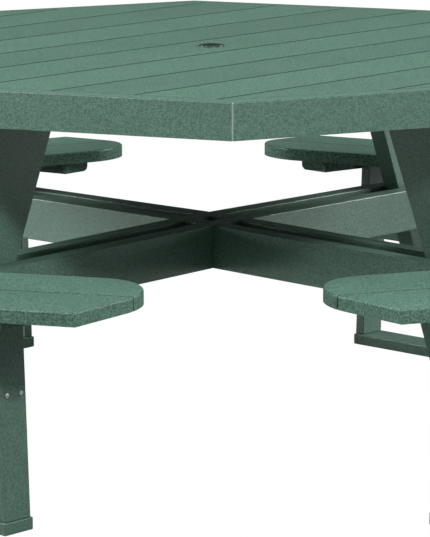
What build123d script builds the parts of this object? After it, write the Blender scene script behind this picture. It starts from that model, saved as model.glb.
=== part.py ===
from build123d import *
from math import cos, radians, sin
import os

# Octagonal walk-in picnic table of recycled-plastic boards.
#
# Origin: the middle of the table on the floor. +Z is up. The two arm pairs cross under the
# middle along X and Y, the corners of the top lie on those axes, and the slats run along X.
# Every side assembly is drawn once, on the +X (east) arm, and turned to the other three.

# Driving dimensions, in mm.
TOP_FLATS = 1440.0          # across the flats of the octagonal top
TOP_HEIGHT = 758.0
SLAT_PITCH = 144.0
SLAT_GAP = 5.0
SLAT_THICK = 25.0
SLATS_EACH_SIDE = 5         # of the middle slat
EDGE_THICK = 28.0           # edge boards round the top
EDGE_DEPTH = 68.0
EDGE_GAP = 2.5              # between edge boards and slat ends
EDGE_MITRE = 0.2
EDGE_ROUND = 3.0            # of the octagon's upright corners and top edge

BORE_RADIUS = 20.0          # umbrella ring, for a 38 mm pole
RING_SLEEVE_RADIUS = 22.5
RING_FLANGE_RADIUS = 25.0
RING_FLANGE_THICK = 2.5
RING_SLEEVE_LENGTH = 28.0

ARM_TOP = 419.0             # at the middle of the table
ARM_FALL = 0.0115           # drop per mm of distance from the middle
ARM_DEPTH = 85.0
ARM_BOARD = 36.5
ARM_GAP = 39.0              # between the two boards of a pair, filled by the leg
ARM_END = 1040.0

LEG_WIDTH = 150.8           # measured level, along the arm
LEG_SLOPE = 0.40            # outward run per mm of drop
LEG_INNER_AT_EDGE = 442.5   # distance of the inner edge from the middle, level with the rim's underside

SEAT_THICK = 25.5
SEAT_FALL = 0.0414
SEAT_INNER = 752.6          # distances along the normal of the top's nearest flat
SEAT_GROOVE = 884.0
SEAT_OUTER = 1018.0
SEAT_GROOVE_GAP = 3.6
SEAT_MITRE = 1.6
SEAT_HALF_LENGTH = 503.0    # from the arm's axis to the end cut
SEAT_TIP_RADIUS = 108.0
SEAT_ROUND = 4.0            # of the top edge all round

FOOT_INNER = 796.0
FOOT_WIDTH = 69.5
FOOT_THICK = 23.0
FOOT_HALF_LENGTH = 301.0
POST_INNER = 800.0          # at the foot
POST_WIDTH = 62.0
POST_THICK = 22.0
POST_OUTER_FACE = 299.0
RAIL_BOTTOM = 240.0
RAIL_THICK = 22.0
BEARER_START = 695.0
BEARER_END = 935.0
BEARER_WIDTH = 69.0
BEARER_THICK = 22.0
BEARER_ROUND = 12.0

BATTEN_CENTRE = 150.0
BATTEN_WIDTH = 89.0
BATTEN_THICK = 37.0
BATTEN_HALF_LENGTH = 655.0
CLEAT_LENGTH = 190.0
CLEAT_THICK = 38.0

BOLT_RADIUS = 5.0
BOLT_PLACES = ((600.0, 388.0), (680.0, 352.0))   # distance from the middle, height
BOLT_HEAD_RADIUS = 11.0
BOLT_HEAD_HEIGHT = 5.0
WASHER_THICK = 2.0
NUT_RADIUS = 8.5
NUT_HEIGHT = 8.0
SCREW_RADIUS = 2.5
SCREW_LENGTH = 45.0
SCREW_HEAD_RADIUS = 4.6
SCREW_HEAD_HEIGHT = 2.4
SCREW_SPACING = 34.0

# Worked out from the dimensions above.
HALF_TURN = radians(22.5)   # from a corner of the octagon to the middle of its next flat
SLAT_BOTTOM = TOP_HEIGHT - SLAT_THICK
EDGE_BOTTOM = TOP_HEIGHT - EDGE_DEPTH
SEAT_TIP = SEAT_INNER / cos(HALF_TURN)          # where the seat's inner edge crosses the arm
ARM_OUTER = ARM_GAP / 2 + ARM_BOARD
POST_TOP_MIDDLE = POST_INNER + POST_WIDTH / 2 + SEAT_FALL * (ARM_TOP - FOOT_THICK)
RAIL_LEAN = SEAT_FALL * (RAIL_BOTTOM - FOOT_THICK)
RAIL_INNER = POST_INNER + RAIL_LEAN
REACH = 1500.0              # longer than any board
SIDES = {"east": 0, "north": 90, "west": 180, "south": 270}


def plan_solid(outline, z_low, z_high, rounded=None, radius=0):
    """A solid over an outline of (x, y) points, with one corner rounded if asked."""
    face = make_face(Polyline(*outline, close=True))
    if rounded is not None:
        face = fillet(face.vertices().sort_by_distance(Vector(*rounded))[0], radius)
    height = z_high - z_low
    return Pos(0, 0, (z_low + z_high) / 2) * extrude(face, amount=height / 2, both=True)


def side_solid(outline, y_low, y_high):
    """A solid over an outline of (x, z) points, from y_low to y_high."""
    face = Plane.XZ * make_face(Polyline(*outline, close=True))
    return Pos(0, (y_low + y_high) / 2, 0) * extrude(face, amount=(y_high - y_low) / 2, both=True)


def block(x_low, x_high, y_low, y_high, z_low, z_high):
    middle = ((x_low + x_high) / 2, (y_low + y_high) / 2, (z_low + z_high) / 2)
    return Pos(*middle) * Box(x_high - x_low, y_high - y_low, z_high - z_low)


def upright_cylinder(radius, z_low, z_high):
    return Pos(0, 0, (z_low + z_high) / 2) * Cylinder(radius, z_high - z_low)


def cross_cylinder(radius, x, z, y_low, y_high):
    """A cylinder lying along Y."""
    return Pos(x, (y_low + y_high) / 2, z) * Rot(90, 0, 0) * Cylinder(radius, y_high - y_low)


def turned(shape, side):
    return Rot(0, 0, SIDES[side]) * shape


def mirrored(shape):
    return mirror(shape, about=Plane.XZ)


def octagon(apothem):
    corner = apothem / cos(HALF_TURN)
    return [(corner * cos(2 * k * HALF_TURN), corner * sin(2 * k * HALF_TURN)) for k in range(8)]


def arm_top(x):
    return ARM_TOP - ARM_FALL * x


def seat_under(x):
    """Height of the seats' underside, which meets the arm at the seat's inner edge."""
    return arm_top(SEAT_TIP) - SEAT_FALL * (x - SEAT_TIP)


def seat_line(distance, y):
    """x of a seat's long edge, distance from the table's middle, at y."""
    return (distance - y * sin(HALF_TURN)) / cos(HALF_TURN)


# The octagonal top.

def top_slats():
    inside = plan_solid(octagon(TOP_FLATS / 2 - EDGE_THICK - EDGE_GAP), SLAT_BOTTOM, TOP_HEIGHT)
    for number in range(-SLATS_EACH_SIDE, SLATS_EACH_SIDE + 1):
        y_middle = number * SLAT_PITCH
        y_reach = (SLAT_PITCH - SLAT_GAP) / 2
        board = block(-REACH, REACH, y_middle - y_reach, y_middle + y_reach, SLAT_BOTTOM, TOP_HEIGHT)
        slat = board & inside
        if number == 0:
            slat -= upright_cylinder(RING_SLEEVE_RADIUS, SLAT_BOTTOM, TOP_HEIGHT)
        yield f"top_slat_{number + SLATS_EACH_SIDE + 1:02d}", slat


def edge_boards():
    """The boards round the top, sawn from one octagonal ring with rounded outer edges."""
    ring = plan_solid(octagon(TOP_FLATS / 2), EDGE_BOTTOM, TOP_HEIGHT)
    ring = fillet(ring.edges().filter_by(Axis.Z), EDGE_ROUND)
    ring = fillet(ring.faces().sort_by(Axis.Z)[-1].edges(), EDGE_ROUND)
    ring -= plan_solid(octagon(TOP_FLATS / 2 - EDGE_THICK), EDGE_BOTTOM, TOP_HEIGHT)
    for k in range(8):
        corners = [(REACH * cos(2 * n * HALF_TURN), REACH * sin(2 * n * HALF_TURN)) for n in (k, k + 1)]
        board = ring & plan_solid([(0, 0), *corners], EDGE_BOTTOM, TOP_HEIGHT)
        for corner in (k, k + 1):
            saw_cut = block(0, REACH, -EDGE_MITRE / 2, EDGE_MITRE / 2, 0, REACH)
            board -= Rot(0, 0, 45 * corner) * saw_cut
        yield f"edge_board_{k + 1}", board


def umbrella_ring():
    flange = upright_cylinder(RING_FLANGE_RADIUS, TOP_HEIGHT, TOP_HEIGHT + RING_FLANGE_THICK)
    rim = flange.edges().filter_by(GeomType.CIRCLE).sort_by(Axis.Z)[-1]
    flange = fillet(rim, RING_FLANGE_THICK * 0.6)
    sleeve = upright_cylinder(RING_SLEEVE_RADIUS, TOP_HEIGHT - RING_SLEEVE_LENGTH, TOP_HEIGHT)
    bore = upright_cylinder(BORE_RADIUS, TOP_HEIGHT - REACH / 10, TOP_HEIGHT + REACH / 10)
    return flange + sleeve - bore


def top_batten(x_middle):
    x_low, x_high = x_middle - BATTEN_WIDTH / 2, x_middle + BATTEN_WIDTH / 2
    y = BATTEN_HALF_LENGTH
    return block(x_low, x_high, -y, y, SLAT_BOTTOM - BATTEN_THICK, SLAT_BOTTOM)


# Arms and legs.

def arm_outline():
    """Side outline of a whole arm board; its top is cut to the seats' underside at both ends."""
    top = [(SEAT_TIP, arm_top(SEAT_TIP)), (ARM_END, seat_under(ARM_END))]
    bottom = [(ARM_END, arm_top(ARM_END) - ARM_DEPTH)]
    right = [(0, ARM_TOP)] + top + bottom + [(0, ARM_TOP - ARM_DEPTH)]
    left = [(-x, z) for x, z in reversed(top + bottom)]
    return right + left


def arm_board(direction, lapped_from_above):
    """One board of a pair, drawn along X at +Y or -Y, half-lapped for the boards that cross it."""
    edges = sorted((direction * ARM_GAP / 2, direction * ARM_OUTER))
    board = side_solid(arm_outline(), *edges)
    lap_z = ARM_TOP - ARM_DEPTH / 2
    lap_low, lap_high = (lap_z, TOP_HEIGHT) if lapped_from_above else (0, lap_z)
    for sign in (-1, 1):
        x_low, x_high = sorted((sign * ARM_GAP / 2, sign * ARM_OUTER))
        board -= block(x_low, x_high, *edges, lap_low, lap_high)
    return board


def leg():
    """A slanted leg, notched over the foot board."""
    def inner(z):
        return LEG_INNER_AT_EDGE + LEG_SLOPE * (EDGE_BOTTOM - z)
    outline = [
        (inner(0), 0),
        (FOOT_INNER, 0),
        (FOOT_INNER, FOOT_THICK),
        (inner(FOOT_THICK) + LEG_WIDTH, FOOT_THICK),
        (inner(SLAT_BOTTOM) + LEG_WIDTH, SLAT_BOTTOM),
        (inner(SLAT_BOTTOM), SLAT_BOTTOM),
    ]
    return side_solid(outline, -ARM_GAP / 2, ARM_GAP / 2)


def leg_cleats():
    """The two blocks that hold a leg's head under the slats."""
    middle = LEG_INNER_AT_EDGE - LEG_SLOPE * (SLAT_BOTTOM - EDGE_BOTTOM) + LEG_WIDTH / 2
    x_low, x_high = middle - CLEAT_LENGTH / 2, middle + CLEAT_LENGTH / 2
    y_low, y_high = ARM_GAP / 2, ARM_GAP / 2 + CLEAT_THICK
    cleat = block(x_low, x_high, y_low, y_high, SLAT_BOTTOM - BATTEN_THICK, SLAT_BOTTOM)
    return cleat, mirrored(cleat)


# Seats and their frames.

def seat_slab():
    near, far = SEAT_INNER / 2, REACH
    outline = [
        (near, seat_under(near)),
        (far, seat_under(far)),
        (far, seat_under(far) + SEAT_THICK),
        (near, seat_under(near) + SEAT_THICK),
    ]
    return side_solid(outline, -REACH, REACH)


def seat_strip(from_distance, to_distance, y_low, y_high):
    """Plan corners of a strip between two of the seat's long lines."""
    return [
        (seat_line(from_distance, y_low), y_low),
        (seat_line(to_distance, y_low), y_low),
        (seat_line(to_distance, y_high), y_high),
        (seat_line(from_distance, y_high), y_high),
    ]


def seat_half():
    """The +Y half of a seat before it is cut into boards, its inner tip and top edge rounded."""
    outline = seat_strip(SEAT_INNER, SEAT_OUTER, SEAT_MITRE / 2, SEAT_HALF_LENGTH)
    half = plan_solid(outline, 0, TOP_HEIGHT, outline[-1], SEAT_TIP_RADIUS) & seat_slab()
    top_edges = half.faces().sort_by(Axis.Z)[-1].edges().sort_by(Axis.Y)
    return fillet(top_edges[1:], SEAT_ROUND)


def seat_boards():
    """The inner and outer board of the +Y half."""
    half = seat_half()
    gap = SEAT_GROOVE_GAP / 2
    for from_distance, to_distance in ((0, SEAT_GROOVE - gap), (SEAT_GROOVE + gap, REACH)):
        strip = seat_strip(from_distance, to_distance, 0, REACH)
        yield half & plan_solid(strip, 0, TOP_HEIGHT)


def foot():
    y = FOOT_HALF_LENGTH
    return block(FOOT_INNER, FOOT_INNER + FOOT_WIDTH, -y, y, 0, FOOT_THICK)


def post():
    """The +Y post, leaning outward until it meets the seat."""
    def inner(z):
        return POST_INNER + SEAT_FALL * (z - FOOT_THICK)
    top_inner = inner(seat_under(POST_TOP_MIDDLE))
    top_outer = top_inner + POST_WIDTH
    outline = [
        (POST_INNER, FOOT_THICK),
        (POST_INNER + POST_WIDTH, FOOT_THICK),
        (top_outer, seat_under(top_outer)),
        (top_inner, seat_under(top_inner)),
    ]
    return side_solid(outline, POST_OUTER_FACE - POST_THICK, POST_OUTER_FACE)


def bearer():
    """The +Y bearer, flat under the seat outside the post, its lower outer edge rounded."""
    outline = [
        (BEARER_START, seat_under(BEARER_START) - BEARER_THICK),
        (BEARER_END, seat_under(BEARER_END) - BEARER_THICK),
        (BEARER_END, seat_under(BEARER_END)),
        (BEARER_START, seat_under(BEARER_START)),
    ]
    board = side_solid(outline, POST_OUTER_FACE, POST_OUTER_FACE + BEARER_WIDTH)
    lower_outer_edge = board.faces().sort_by(Axis.Z)[0].edges().sort_by(Axis.Y)[-1]
    return fillet(lower_outer_edge, BEARER_ROUND)


def stretcher_rail():
    y = POST_OUTER_FACE - POST_THICK
    x_high = RAIL_INNER + POST_WIDTH
    return block(RAIL_INNER, x_high, -y, y, RAIL_BOTTOM, RAIL_BOTTOM + RAIL_THICK)


# Fixings.

def screw(x, z, y_head, direction):
    """A pan-head screw along Y, its head's underside at y_head, driven towards direction."""
    y_tip = y_head + direction * SCREW_LENGTH
    y_top = y_head - direction * SCREW_HEAD_HEIGHT
    shank = cross_cylinder(SCREW_RADIUS, x, z, *sorted((y_head, y_tip)))
    head = cross_cylinder(SCREW_HEAD_RADIUS, x, z, *sorted((y_head, y_top)))
    crown = head.edges().filter_by(GeomType.CIRCLE).sort_by(Axis.Y)[0 if direction > 0 else -1]
    return shank + fillet(crown, SCREW_HEAD_HEIGHT * 0.6)


def post_screws():
    """The four screws of the +Y post: two into the rail's end, two into the bearer."""
    rail_z = RAIL_BOTTOM + RAIL_THICK / 2
    rail_x = RAIL_INNER + POST_WIDTH / 2
    inner_face = POST_OUTER_FACE - POST_THICK
    screws = []
    for sign in (-1, 1):
        step = sign * SCREW_SPACING / 2
        bearer_x = POST_TOP_MIDDLE + step
        screws.append(screw(rail_x + step, rail_z, POST_OUTER_FACE, -1))
        screws.append(screw(bearer_x, seat_under(bearer_x) - BEARER_THICK / 2, inner_face, 1))
    return screws


def leg_bolt(x, z):
    """A carriage bolt through arm board, leg and arm board, with its washer and nut."""
    shank = cross_cylinder(BOLT_RADIUS, x, z, -ARM_OUTER, ARM_OUTER + WASHER_THICK + NUT_HEIGHT)
    head = cross_cylinder(BOLT_HEAD_RADIUS, x, z, -ARM_OUTER - BOLT_HEAD_HEIGHT, -ARM_OUTER)
    crown = head.edges().filter_by(GeomType.CIRCLE).sort_by(Axis.Y)[0]
    head = fillet(crown, BOLT_HEAD_HEIGHT * 0.8)
    washer = cross_cylinder(BOLT_HEAD_RADIUS, x, z, ARM_OUTER, ARM_OUTER + WASHER_THICK)
    nut_shape = extrude(RegularPolygon(NUT_RADIUS, 6), amount=NUT_HEIGHT)
    nut = Pos(x, ARM_OUTER + WASHER_THICK, z) * Rot(-90, 0, 0) * nut_shape
    return shank + head + washer + nut


def bored(board, fixings):
    """The board with the holes that the fixings go through."""
    for fixing in fixings:
        board -= fixing
    return board


def top_nodes():
    nodes = dict(top_slats())
    nodes.update(edge_boards())
    nodes["umbrella_ring"] = umbrella_ring()
    nodes["top_batten_east"] = top_batten(BATTEN_CENTRE)
    nodes["top_batten_west"] = top_batten(-BATTEN_CENTRE)
    return nodes


def arm_nodes(bolts):
    """The pair along X is lapped from below, and the pair along Y from above."""
    nodes = {}
    for name, direction, side, lapped_from_above in (
        ("arm_board_ew_north", 1, "east", False),
        ("arm_board_ew_south", -1, "east", False),
        ("arm_board_ns_west", 1, "north", True),
        ("arm_board_ns_east", -1, "north", True),
    ):
        board = arm_board(direction, lapped_from_above)
        opposite = [Rot(0, 0, 180) * bolt for bolt in bolts]
        nodes[name] = turned(bored(board, bolts + opposite), side)
    return nodes


def side_nodes(side, bolts, screws):
    """Everything that belongs to one arm end, as nodes named after its side."""
    posts = {"left": bored(post(), screws), "right": mirrored(bored(post(), screws))}
    inner, outer = seat_boards()
    home = {
        "leg": bored(leg(), bolts),
        "foot": foot(),
        "post_left": posts["left"],
        "post_right": posts["right"],
        "stretcher_rail": bored(stretcher_rail(), screws + [mirrored(one) for one in screws]),
        "seat_inner_boards": Compound(children=[inner, mirrored(inner)]),
        "seat_outer_boards": Compound(children=[outer, mirrored(outer)]),
    }
    return {f"{name}_{side}": turned(shape, side) for name, shape in home.items()}


def grouped_nodes(bolts, screws):
    """Repeated small pieces that share one node each."""
    one_bearer = bored(bearer(), screws)
    home = {
        "seat_bearers": [one_bearer, mirrored(one_bearer)],
        "leg_cleats": list(leg_cleats()),
        "leg_bolts": bolts,
        "frame_screws": screws + [mirrored(one) for one in screws],
    }
    return {
        name: Compound(children=[turned(one, side) for side in SIDES for one in pieces])
        for name, pieces in home.items()
    }


def main():
    bolts = [leg_bolt(x, z) for x, z in BOLT_PLACES]
    screws = post_screws()
    nodes = top_nodes()
    nodes.update(arm_nodes(bolts))
    for side in SIDES:
        nodes.update(side_nodes(side, bolts, screws))
    nodes.update(grouped_nodes(bolts, screws))
    os.makedirs("parts", exist_ok=True)
    for name, shape in nodes.items():
        export_step(shape, f"parts/{name}.step")
    print(len(nodes), "nodes")


main()
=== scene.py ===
"""Looks for the octagonal walk-in picnic table: recycled-plastic boards, studio light and camera."""
import math

import bpy
from mathutils import Matrix, Vector


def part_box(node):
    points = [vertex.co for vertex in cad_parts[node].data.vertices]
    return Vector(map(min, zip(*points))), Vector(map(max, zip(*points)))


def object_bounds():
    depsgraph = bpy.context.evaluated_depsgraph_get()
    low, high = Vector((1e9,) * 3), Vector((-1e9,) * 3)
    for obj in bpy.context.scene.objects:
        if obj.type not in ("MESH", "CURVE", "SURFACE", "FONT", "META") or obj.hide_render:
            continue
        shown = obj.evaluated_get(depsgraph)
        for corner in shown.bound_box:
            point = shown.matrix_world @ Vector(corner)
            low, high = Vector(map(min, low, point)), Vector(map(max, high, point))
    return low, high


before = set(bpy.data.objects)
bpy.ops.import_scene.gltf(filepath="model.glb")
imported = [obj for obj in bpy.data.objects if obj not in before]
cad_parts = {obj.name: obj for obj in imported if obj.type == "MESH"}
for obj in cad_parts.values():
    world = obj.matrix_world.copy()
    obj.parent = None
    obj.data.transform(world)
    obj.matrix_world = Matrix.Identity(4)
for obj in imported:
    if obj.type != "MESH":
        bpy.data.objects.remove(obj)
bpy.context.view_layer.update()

# Camera, in metres and degrees, its lens and sensor in mm. Bearings run from +X towards +Y.
CAMERA_BEARING = -137.71      # of the camera, from the middle of the table
CAMERA_DISTANCE = 6.944
CAMERA_ABOVE_TOP = 0.880
CAMERA_PITCH = 10.762         # below the horizon
CAMERA_YAW = -0.062
CAMERA_ROLL = 0.064
CAMERA_LENS = 241.3
SENSOR_SIZE = 36.0

# Finishes, in linear colour.
GREEN = (0.071, 0.141, 0.108)
# Painted shade for the joints between the slats.
JOINT_PAINTED_SHADE = (0.036, 0.072, 0.054)
# Painted highlight for the upright corners of the top.
HIGHLIGHT_GREEN = (0.30, 0.38, 0.34)
RING_GREEN = (0.020, 0.042, 0.032)
ZINC = (0.62, 0.63, 0.62)

# Board skin. The pebbles are a scale, then the darkest and the lightest against GREEN.
BOARD_IOR = 1.47
FLAT_BOARD_SHINE = 0.22       # specular level of slats, seats and seat bearers
BOARD_SHINE = 0.5
FLAT_BOARD_PEBBLES = (290.0, 0.42, 1.66)
BOARD_PEBBLES = (350.0, 0.62, 1.42)
FLECK_SCALE = 620.0
STREAK_SCALE = 90.0
CLOUD_SCALE = 5.0
PEBBLE_STRETCH = 1.3          # along the board
STREAK_STRETCH = 20.0
DARKER = 0.74                 # of clouds and streaks, against GREEN
ROUTED_POLISH = -0.25         # change of roughness on the routed edges
TONE_SPREAD = 0.05            # between one board and another

# Roughness, from lowest to highest.
BOARD_ROUGHNESS = (0.45, 0.55)
RING_ROUGHNESS = (0.10, 0.22)
ZINC_ROUGHNESS = (0.32, 0.5)
PAPER_ROUGHNESS = (0.85, 0.95)

# Sizes, in metres.
ARRIS = 0.0024                # radius of the edges of the boards under the top
SLAT_PITCH = 0.144
JOINT_SHADE = (0.0026, 0.0052)    # painted shade in the slat joints: full up to, and gone at, this far from its middle
CORNER_HIGHLIGHT = (0.2960, 0.2980)    # painted highlight on the edge boards' upright corners: starts, and is full, this far along it
WELD_DISTANCE = 2e-5
FLOOR_REACH = 40.0            # of the floor each way

WHOLE_SLATS = 100.0           # added to a count of slats, to keep it above 0
FLAT_ANGLE = math.radians(0.4)
SHARP_ANGLE = math.radians(32)
LEG_TILT = math.radians(68.2)  # of a leg below the horizon
SIDE_BEARINGS = {"east": 0, "north": 90, "west": 180, "south": 270}

AIM_HEIGHT = 0.6              # of the lights, as a share of the table's height
WORLD_LIGHT = 0.12
FLOOR_GREY = 0.16


# Shader helpers.

class Shader:
    """Builds one material's node tree, with short calls for the nodes used here."""

    def __init__(self, name):
        self.material = bpy.data.materials.new(name)
        self.material.use_nodes = True
        self.tree = self.material.node_tree
        self.surface = self.tree.nodes["Principled BSDF"]
        places = self.tree.nodes.new("ShaderNodeTexCoord")
        self.coordinates = places.outputs["Object"]
        self.normal = places.outputs["Normal"]

    def link(self, output, target):
        self.tree.links.new(output, target)

    def node(self, kind, inputs=None, **settings):
        node = self.tree.nodes.new(kind)
        for key, value in settings.items():
            setattr(node, key, value)
        for key, value in (inputs or {}).items():
            if isinstance(value, bpy.types.NodeSocket):
                self.link(value, node.inputs[key])
            else:
                node.inputs[key].default_value = value
        return node

    def placed(self, shift=(0, 0, 0), grain=(0, 0, 0), stretch=1.0):
        """Coordinates moved by shift, with X turned to the grain and the pattern stretched along it."""
        return self.node(
            "ShaderNodeMapping",
            {
                "Vector": self.coordinates,
                "Location": shift,
                "Rotation": grain,
                "Scale": (stretch, 1, 1),
            },
            vector_type="TEXTURE",
        ).outputs["Vector"]

    def noise(self, vector, scale, detail=2.0, roughness=0.5):
        return self.node(
            "ShaderNodeTexNoise",
            {"Vector": vector, "Scale": scale, "Detail": detail, "Roughness": roughness},
        ).outputs["Fac"]

    def fit(self, value, low, high, to_low=0.0, to_high=1.0):
        return self.node(
            "ShaderNodeMapRange",
            {"Value": value, "From Min": low, "From Max": high, "To Min": to_low, "To Max": to_high},
        ).outputs["Result"]

    def math(self, operation, *values):
        node = self.node("ShaderNodeMath", operation=operation)
        for socket, value in zip(node.inputs, values):
            if isinstance(value, bpy.types.NodeSocket):
                self.link(value, socket)
            else:
                socket.default_value = value
        return node.outputs["Value"]

    def axis(self, vector, name):
        return self.node("ShaderNodeSeparateXYZ", {"Vector": vector}).outputs[name]

    def blend(self, amount, first, second):
        node = self.node("ShaderNodeMix", data_type="RGBA")
        self.link(amount, node.inputs["Factor"])
        for socket, colour in ((node.inputs[6], first), (node.inputs[7], second)):
            if isinstance(colour, bpy.types.NodeSocket):
                self.link(colour, socket)
            else:
                socket.default_value = (*colour, 1.0)
        return node.outputs[2]

    def bump(self, height, strength, distance):
        bump = self.node(
            "ShaderNodeBump", {"Height": height, "Strength": strength, "Distance": distance}
        )
        self.link(bump.outputs["Normal"], self.surface.inputs["Normal"])


def tinted(colour, factor):
    """The colour made darker or lighter."""
    return tuple(channel * factor for channel in colour)


def joint_shade(shader):
    """1 in and beside the joints between the slats, where shade is painted."""
    across = shader.math("DIVIDE", shader.axis(shader.coordinates, "Y"), SLAT_PITCH)
    slat_share = shader.math("FRACT", shader.math("ADD", across, WHOLE_SLATS))
    place = shader.math("SUBTRACT", slat_share, 0.5)
    near, far = (distance / SLAT_PITCH for distance in JOINT_SHADE)
    return shader.fit(shader.math("ABSOLUTE", place), near, far, 1.0, 0.0)


def corner_highlight(shader, grain):
    """1 on the upright corners of the top, at both ends of an edge board, where a highlight is painted.
    """
    along = shader.math("ABSOLUTE", shader.axis(shader.placed(grain=grain), "X"))
    return shader.fit(along, *CORNER_HIGHLIGHT)


def rounded_edge(shader):
    """1 where a surface leans between level and upright: routed edges, and a leg's upper side."""
    lean = shader.axis(shader.normal, "Z")
    past_upright = shader.fit(lean, 0.15, 0.35)
    short_of_level = shader.fit(lean, 0.85, 0.97, 1.0, 0.0)
    return shader.math("MULTIPLY", past_upright, short_of_level)


def board_material(name, grain, seed, tone):
    """Recycled-plastic board: pebbled skin, flecks and faint streaks along its length."""
    shader = Shader(f"board_{name}")
    shift = (seed * 3.7, seed * 1.9, seed * 2.3)
    lies_flat = name.startswith(("top_slat", "seat"))
    even = shader.placed(shift)
    pebble_scale, dark, light = FLAT_BOARD_PEBBLES if lies_flat else BOARD_PEBBLES
    mottle = shader.noise(shader.placed(shift, grain, PEBBLE_STRETCH), pebble_scale, 3.0, 0.65)
    streak = shader.noise(shader.placed(shift, grain, STREAK_STRETCH), STREAK_SCALE, 2.0, 0.5)
    fleck = shader.noise(even, FLECK_SCALE, 2.0, 0.7)
    cloud = shader.noise(even, CLOUD_SCALE, 3.0, 0.55)

    base = shader.blend(
        shader.fit(mottle, 0.36, 0.64), tinted(GREEN, dark * tone), tinted(GREEN, light * tone)
    )
    lighter = tuple(channel * 1.6 + 0.02 for channel in tinted(GREEN, tone))
    flecked = shader.blend(shader.fit(fleck, 0.58, 0.72, 0.0, 0.6), base, lighter)
    darker = tinted(GREEN, DARKER * tone)
    clouded = shader.blend(shader.fit(cloud, 0.35, 0.70, 0.0, 0.25), flecked, darker)
    colour = shader.blend(shader.fit(streak, 0.45, 0.75, 0.0, 0.16), clouded, darker)
    if name.startswith("top_slat"):
        # Painted shade in the joints between the slats.
        colour = shader.blend(joint_shade(shader), colour, JOINT_PAINTED_SHADE)
    if name.startswith("edge_board"):
        # Painted highlight on the upright corners of the top.
        colour = shader.blend(corner_highlight(shader, grain), colour, HIGHLIGHT_GREEN)
    shader.link(colour, shader.surface.inputs["Base Color"])

    skin = shader.fit(mottle, 0.3, 0.7, *BOARD_ROUGHNESS)
    routed = shader.math("MULTIPLY", rounded_edge(shader), ROUTED_POLISH)
    shader.link(shader.math("ADD", skin, routed), shader.surface.inputs["Roughness"])
    shine = FLAT_BOARD_SHINE if lies_flat else BOARD_SHINE
    shader.surface.inputs["IOR"].default_value = BOARD_IOR
    shader.surface.inputs["Specular IOR Level"].default_value = shine
    height = shader.math("ADD", mottle, shader.math("MULTIPLY", fleck, 0.45))
    shader.bump(height, 0.55, 0.0006)
    return shader.material


def ring_material():
    """Smooth moulded ring, glossy with fine scuffs."""
    shader = Shader("ring_plastic")
    scuff = shader.noise(shader.placed(stretch=3.0), 420.0, 4.0, 0.6)
    colour = shader.blend(shader.fit(scuff, 0.4, 0.7), RING_GREEN, tinted(RING_GREEN, 1.5))
    shader.link(colour, shader.surface.inputs["Base Color"])
    shader.link(shader.fit(scuff, 0.3, 0.7, *RING_ROUGHNESS), shader.surface.inputs["Roughness"])
    shader.bump(scuff, 0.15, 0.0003)
    return shader.material


def zinc_material():
    """Galvanised fixings with a dull, blotched skin."""
    shader = Shader("galvanised_steel")
    blotch = shader.noise(shader.placed(), 260.0, 4.0, 0.65)
    colour = shader.blend(shader.fit(blotch, 0.35, 0.7), tinted(ZINC, 0.7), tinted(ZINC, 1.25))
    shader.link(colour, shader.surface.inputs["Base Color"])
    shader.link(shader.fit(blotch, 0.3, 0.7, *ZINC_ROUGHNESS), shader.surface.inputs["Roughness"])
    shader.surface.inputs["Metallic"].default_value = 1.0
    shader.bump(blotch, 0.2, 0.0004)
    return shader.material


# The object's own nodes.

def grain_turn(name):
    """Euler angles that turn X to the length of a board.

    A grouped node holds boards that run several ways, and takes one turn for all of them.
    """
    side = name.rsplit("_", 1)[-1]
    bearing = math.radians(SIDE_BEARINGS.get(side, 0))
    if name.startswith("edge_board"):
        return (0, 0, math.radians(22.5 + 45 * (int(side) - 1) + 90))
    if name.startswith(("arm_board_ns", "top_batten")):
        return (0, 0, math.radians(90))
    if name.startswith(("foot", "stretcher_rail", "seat")):
        return (0, 0, bearing + math.radians(90))
    if name.startswith("leg"):
        return (0, LEG_TILT, bearing)
    if name.startswith("post"):
        return (0, math.radians(90), bearing)
    return (0, 0, 0)


def smooth_skin():
    """Geometry nodes that shade a board smoothly, without the CAD's own normals."""
    tree = bpy.data.node_groups.new("smooth_skin", "GeometryNodeTree")
    for way in ("INPUT", "OUTPUT"):
        tree.interface.new_socket("Geometry", in_out=way, socket_type="NodeSocketGeometry")
    source = tree.nodes.new("NodeGroupInput")
    plain = tree.nodes.new("GeometryNodeRemoveAttribute")
    plain.inputs["Name"].default_value = "custom_normal"
    smooth = tree.nodes.new("GeometryNodeSetShadeSmooth")
    result = tree.nodes.new("NodeGroupOutput")
    tree.links.new(source.outputs[0], plain.inputs["Geometry"])
    tree.links.new(plain.outputs["Geometry"], smooth.inputs["Geometry"])
    tree.links.new(smooth.outputs["Geometry"], result.inputs[0])
    return tree


def round_edges(node, radius, skin):
    """Rounds a board's arrises with modifiers alone, leaving its own mesh as it is."""
    shading = node.modifiers.new("skin", "NODES")
    shading.node_group = skin
    weld = node.modifiers.new("weld", "WELD")
    weld.merge_threshold = WELD_DISTANCE
    flat = node.modifiers.new("flat_faces", "DECIMATE")
    flat.decimate_type = "DISSOLVE"
    flat.angle_limit = FLAT_ANGLE
    bevel = node.modifiers.new("arris", "BEVEL")
    bevel.width = radius
    bevel.segments = 3
    bevel.limit_method = "ANGLE"
    bevel.angle_limit = SHARP_ANGLE
    bevel.use_clamp_overlap = False
    bevel.loop_slide = False
    bevel.harden_normals = True


def finish_node(node, material):
    for slot in node.material_slots:
        slot.material = material


def dress_nodes():
    ring = ring_material()
    zinc = zinc_material()
    skin = smooth_skin()
    for seed, (name, node) in enumerate(sorted(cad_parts.items())):
        if name == "umbrella_ring":
            finish_node(node, ring)
        elif name in ("leg_bolts", "frame_screws"):
            finish_node(node, zinc)
        else:
            tone = 1.0 + TONE_SPREAD * math.sin(seed * 2.4)
            finish_node(node, board_material(name, grain_turn(name), seed, tone))
            if not name.startswith(("top_slat", "edge_board", "seat_inner", "seat_outer")):
                round_edges(node, ARRIS, skin)


# Studio.

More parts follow.
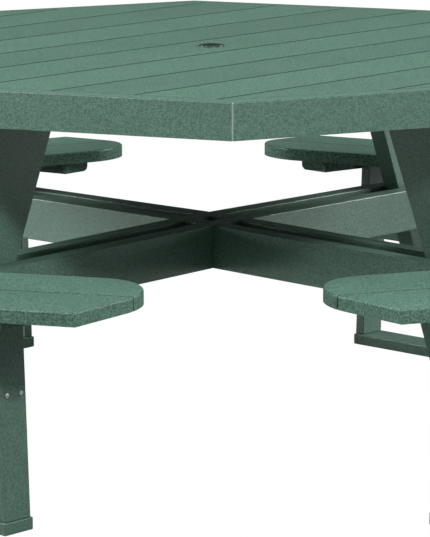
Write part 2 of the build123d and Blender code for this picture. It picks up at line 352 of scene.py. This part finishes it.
def make_camera(top_height):
    bearing = math.radians(CAMERA_BEARING)
    heading = bearing + math.pi + math.radians(CAMERA_YAW)
    data = bpy.data.cameras.new("camera")
    data.lens = CAMERA_LENS
    data.sensor_width = SENSOR_SIZE
    data.clip_end = 200.0
    camera = bpy.data.objects.new("camera", data)
    place = Matrix.Translation((
        CAMERA_DISTANCE * math.cos(bearing),
        CAMERA_DISTANCE * math.sin(bearing),
        top_height + CAMERA_ABOVE_TOP,
    ))
    turn = Matrix.Rotation(heading - math.pi / 2, 4, "Z")
    tilt = Matrix.Rotation(math.pi / 2 - math.radians(CAMERA_PITCH), 4, "X")
    roll = Matrix.Rotation(math.radians(CAMERA_ROLL), 4, "Z")
    camera.matrix_world = place @ turn @ tilt @ roll
    bpy.context.scene.collection.objects.link(camera)
    bpy.context.scene.camera = camera


def softbox(name, aim, bearing, elevation, distance, size, power):
    """A light panel; its bearing is measured from the camera's, anticlockwise from above."""
    angle = math.radians(CAMERA_BEARING + bearing)
    rise = math.radians(elevation)
    data = bpy.data.lights.new(name, "AREA")
    data.shape = "RECTANGLE"
    data.size, data.size_y = size
    data.energy = power
    light = bpy.data.objects.new(name, data)
    offset = Vector((
        math.cos(angle) * math.cos(rise),
        math.sin(angle) * math.cos(rise),
        math.sin(rise),
    ))
    light.location = aim + offset * distance
    light.rotation_mode = "QUATERNION"
    light.rotation_quaternion = (-offset).to_track_quat("-Z", "Y")
    bpy.context.scene.collection.objects.link(light)


def make_lights(aim):
    softbox("key_box", aim, bearing=27, elevation=32, distance=5.0, size=(0.5, 0.5), power=150)
    softbox("fill_box", aim, bearing=-50, elevation=28, distance=5.0, size=(1.1, 1.1), power=95)
    softbox("left_rim_box", aim, bearing=-99, elevation=33, distance=5.0, size=(2.4, 1.2), power=205)
    softbox("right_rim_box", aim, bearing=107, elevation=28, distance=5.0, size=(2.4, 1.2), power=240)
    softbox("left_low_box", aim, bearing=-92, elevation=-4, distance=2.2, size=(1.8, 0.9), power=24)
    softbox("right_low_box", aim, bearing=98, elevation=-4, distance=2.2, size=(1.8, 0.9), power=17)
    softbox("top_box", aim, bearing=10, elevation=62, distance=4.5, size=(2.2, 2.2), power=62)


def make_world():
    """A dim even light that the camera sees as white."""
    world = bpy.data.worlds.new("studio")
    world.use_nodes = True
    background = world.node_tree.nodes["Background"]
    background.inputs["Color"].default_value = (1.0, 1.0, 1.0, 1.0)
    path = world.node_tree.nodes.new("ShaderNodeLightPath")
    strength = world.node_tree.nodes.new("ShaderNodeMapRange")
    strength.inputs["To Min"].default_value = WORLD_LIGHT
    strength.inputs["To Max"].default_value = 1.0
    world.node_tree.links.new(path.outputs["Is Camera Ray"], strength.inputs["Value"])
    world.node_tree.links.new(strength.outputs["Result"], background.inputs["Strength"])
    bpy.context.scene.world = world


def make_floor(height):
    """A studio floor that the camera sees as white and that lights the table as grey card."""
    mesh = bpy.data.meshes.new("floor")
    signs = ((-1, -1), (1, -1), (1, 1), (-1, 1))
    corners = [(x * FLOOR_REACH, y * FLOOR_REACH, height) for x, y in signs]
    mesh.from_pydata(corners, [], [(0, 1, 2, 3)])
    floor = bpy.data.objects.new("floor", mesh)
    bpy.context.scene.collection.objects.link(floor)
    shader = Shader("floor_paper")
    tree = shader.tree
    grain = shader.noise(shader.placed(), 30.0, 3.0)
    shader.link(shader.fit(grain, 0.3, 0.7, *PAPER_ROUGHNESS), shader.surface.inputs["Roughness"])
    grey = (FLOOR_GREY, FLOOR_GREY, FLOOR_GREY, 1.0)
    shader.surface.inputs["Base Color"].default_value = grey
    glow = shader.node("ShaderNodeEmission", {"Color": (1.0, 1.0, 1.0, 1.0), "Strength": 1.0})
    path = shader.node("ShaderNodeLightPath")
    mix = shader.node("ShaderNodeMixShader")
    shader.link(path.outputs["Is Camera Ray"], mix.inputs[0])
    shader.link(shader.surface.outputs[0], mix.inputs[1])
    shader.link(glow.outputs[0], mix.inputs[2])
    shader.link(mix.outputs[0], tree.nodes["Material Output"].inputs["Surface"])
    mesh.materials.append(shader.material)


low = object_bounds()[0]
top_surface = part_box("top_slat_06")[1].z
make_camera(top_surface)
dress_nodes()
make_lights(Vector((0.0, 0.0, top_surface * AIM_HEIGHT)))
make_world()
make_floor(low.z)
bpy.context.scene.view_settings.view_transform = "Standard"
